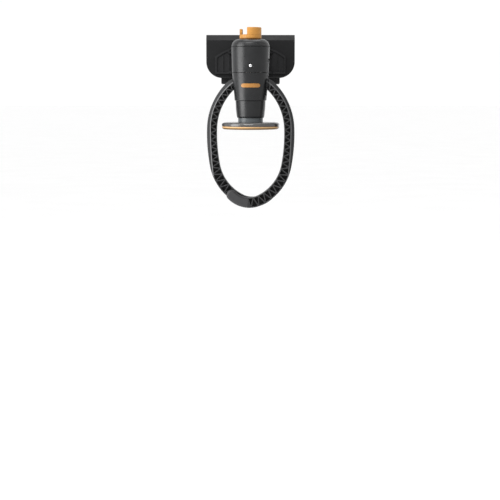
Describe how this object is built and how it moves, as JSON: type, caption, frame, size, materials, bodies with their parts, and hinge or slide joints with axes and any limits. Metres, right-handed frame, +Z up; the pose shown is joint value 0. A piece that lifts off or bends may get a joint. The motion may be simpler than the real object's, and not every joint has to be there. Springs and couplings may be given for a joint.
{
  "type": "bicycle wall rack",
  "caption": "Wall rack that grips a bicycle's tyre: pushing the wheel against a round pad closes two curved ribbed arms round it.",
  "frame": {"origin": "centre of the four wall screw holes, on the wall plane", "axes": "+Z up, +Y into the wall, -Y out of the wall towards the user, +X to the right seen from the front"},
  "size_m": [0.1716, 0.267, 0.3229],
  "materials": {
    "cover_skin": "dull moulded skin",
    "moulded_black": "moulded, lightly textured",
    "arm_grey": "glass-filled nylon, satin",
    "sleeve_rubber": "soft matt overmould",
    "painted_steel": "black powder coat",
    "cast_arm": "cast aluminium, black paint",
    "plated_steel": "zinc plated",
    "bright_steel": "polished",
    "spring_steel": "oiled spring steel",
    "bronze": "sintered bronze",
    "acetal": "natural acetal",
    "orange_plastic": "semi-gloss moulded",
    "orange_rubber": "soft bumper",
    "pad_grey": "semi-gloss",
    "neck_grey": "semi-gloss tube",
    "badge_satin": "satin blank badge"
  },
  "bodies": {
    "wall_bracket": {"wall_plate": "painted_steel", "base_cover": "cover_skin", "neck_beam": "cast_arm", "beam_screws": "plated_steel", "upper_front_cover": "moulded_black", "lower_front_cover": "moulded_black", "rear_housing": "moulded_black", "pod_bolts": "plated_steel", "bottom_collar": "moulded_black", "stop_ring": "sleeve_rubber", "dome_cap": "moulded_black", "badge": "badge_satin", "front_screw": "bright_steel", "front_frame_plate": "plated_steel", "rear_frame_plate": "plated_steel", "middle_plate": "plated_steel", "frame_spacers": "plated_steel", "tie_bolts": "plated_steel", "tie_nuts": "plated_steel", "spring_seat": "acetal", "pivot_pins": "bright_steel", "pin_clips": "spring_steel", "thrust_washers": "bronze", "latch_screw": "plated_steel"},
    "plunger": {"rear_rack": "plated_steel", "front_rack": "plated_steel", "rack_screws": "plated_steel", "plunger_head": "acetal", "plunger_tube": "neck_grey", "latch_cam": "acetal", "return_spring": "spring_steel", "pad_disc": "pad_grey", "pad_ring": "orange_rubber", "pad_screw": "bright_steel"},
    "left_arm": {"left_arm": "arm_grey", "left_tip_sleeve": "sleeve_rubber", "left_pivot_bush": "bronze"},
    "right_arm": {"right_arm": "arm_grey", "right_tip_sleeve": "sleeve_rubber", "right_pivot_bush": "bronze"},
    "lock_lever": {"lock_lever": "orange_plastic", "lock_cam": "acetal", "lever_clip": "spring_steel", "detent_washer": "spring_steel"},
    "latch_follower": {"latch_follower": "spring_steel"}
  },
  "joints": [
    {"name": "trigger_slide", "type": "slide", "parent": "wall_bracket", "child": "plunger", "axis": [0, 0, 1], "range_m": [-0.025, 0.002], "deforming": ["return_spring"]},
    {"name": "left_arm_hinge", "type": "hinge", "parent": "wall_bracket", "child": "left_arm", "pos_m": [-0.0122, -0.215, -0.026], "axis": [0, 1, 0], "range_deg": [-3.84, 45.67]},
    {"name": "right_arm_hinge", "type": "hinge", "parent": "wall_bracket", "child": "right_arm", "pos_m": [0.0122, -0.215, -0.026], "axis": [0, -1, 0], "range_deg": [-3.84, 45.67]},
    {"name": "lock_lever_hinge", "type": "hinge", "parent": "wall_bracket", "child": "lock_lever", "pos_m": [0, -0.215, 0.03], "axis": [0, 0, 1], "range_deg": [0, 90]},
    {"name": "latch_follower_hinge", "type": "hinge", "parent": "wall_bracket", "child": "latch_follower", "pos_m": [0.012, -0.215, -0.002], "axis": [0, 1, 0], "range_deg": [-0.5, 4]}
  ],
  "couplings": [
    {"joint": "left_arm_hinge", "follows": "trigger_slide", "rad_per_m": -31.746},
    {"joint": "right_arm_hinge", "follows": "trigger_slide", "rad_per_m": -31.746},
    {"joint": "latch_follower_hinge", "follows": "trigger_slide", "rad_per_m": -2.6667}
  ]
}
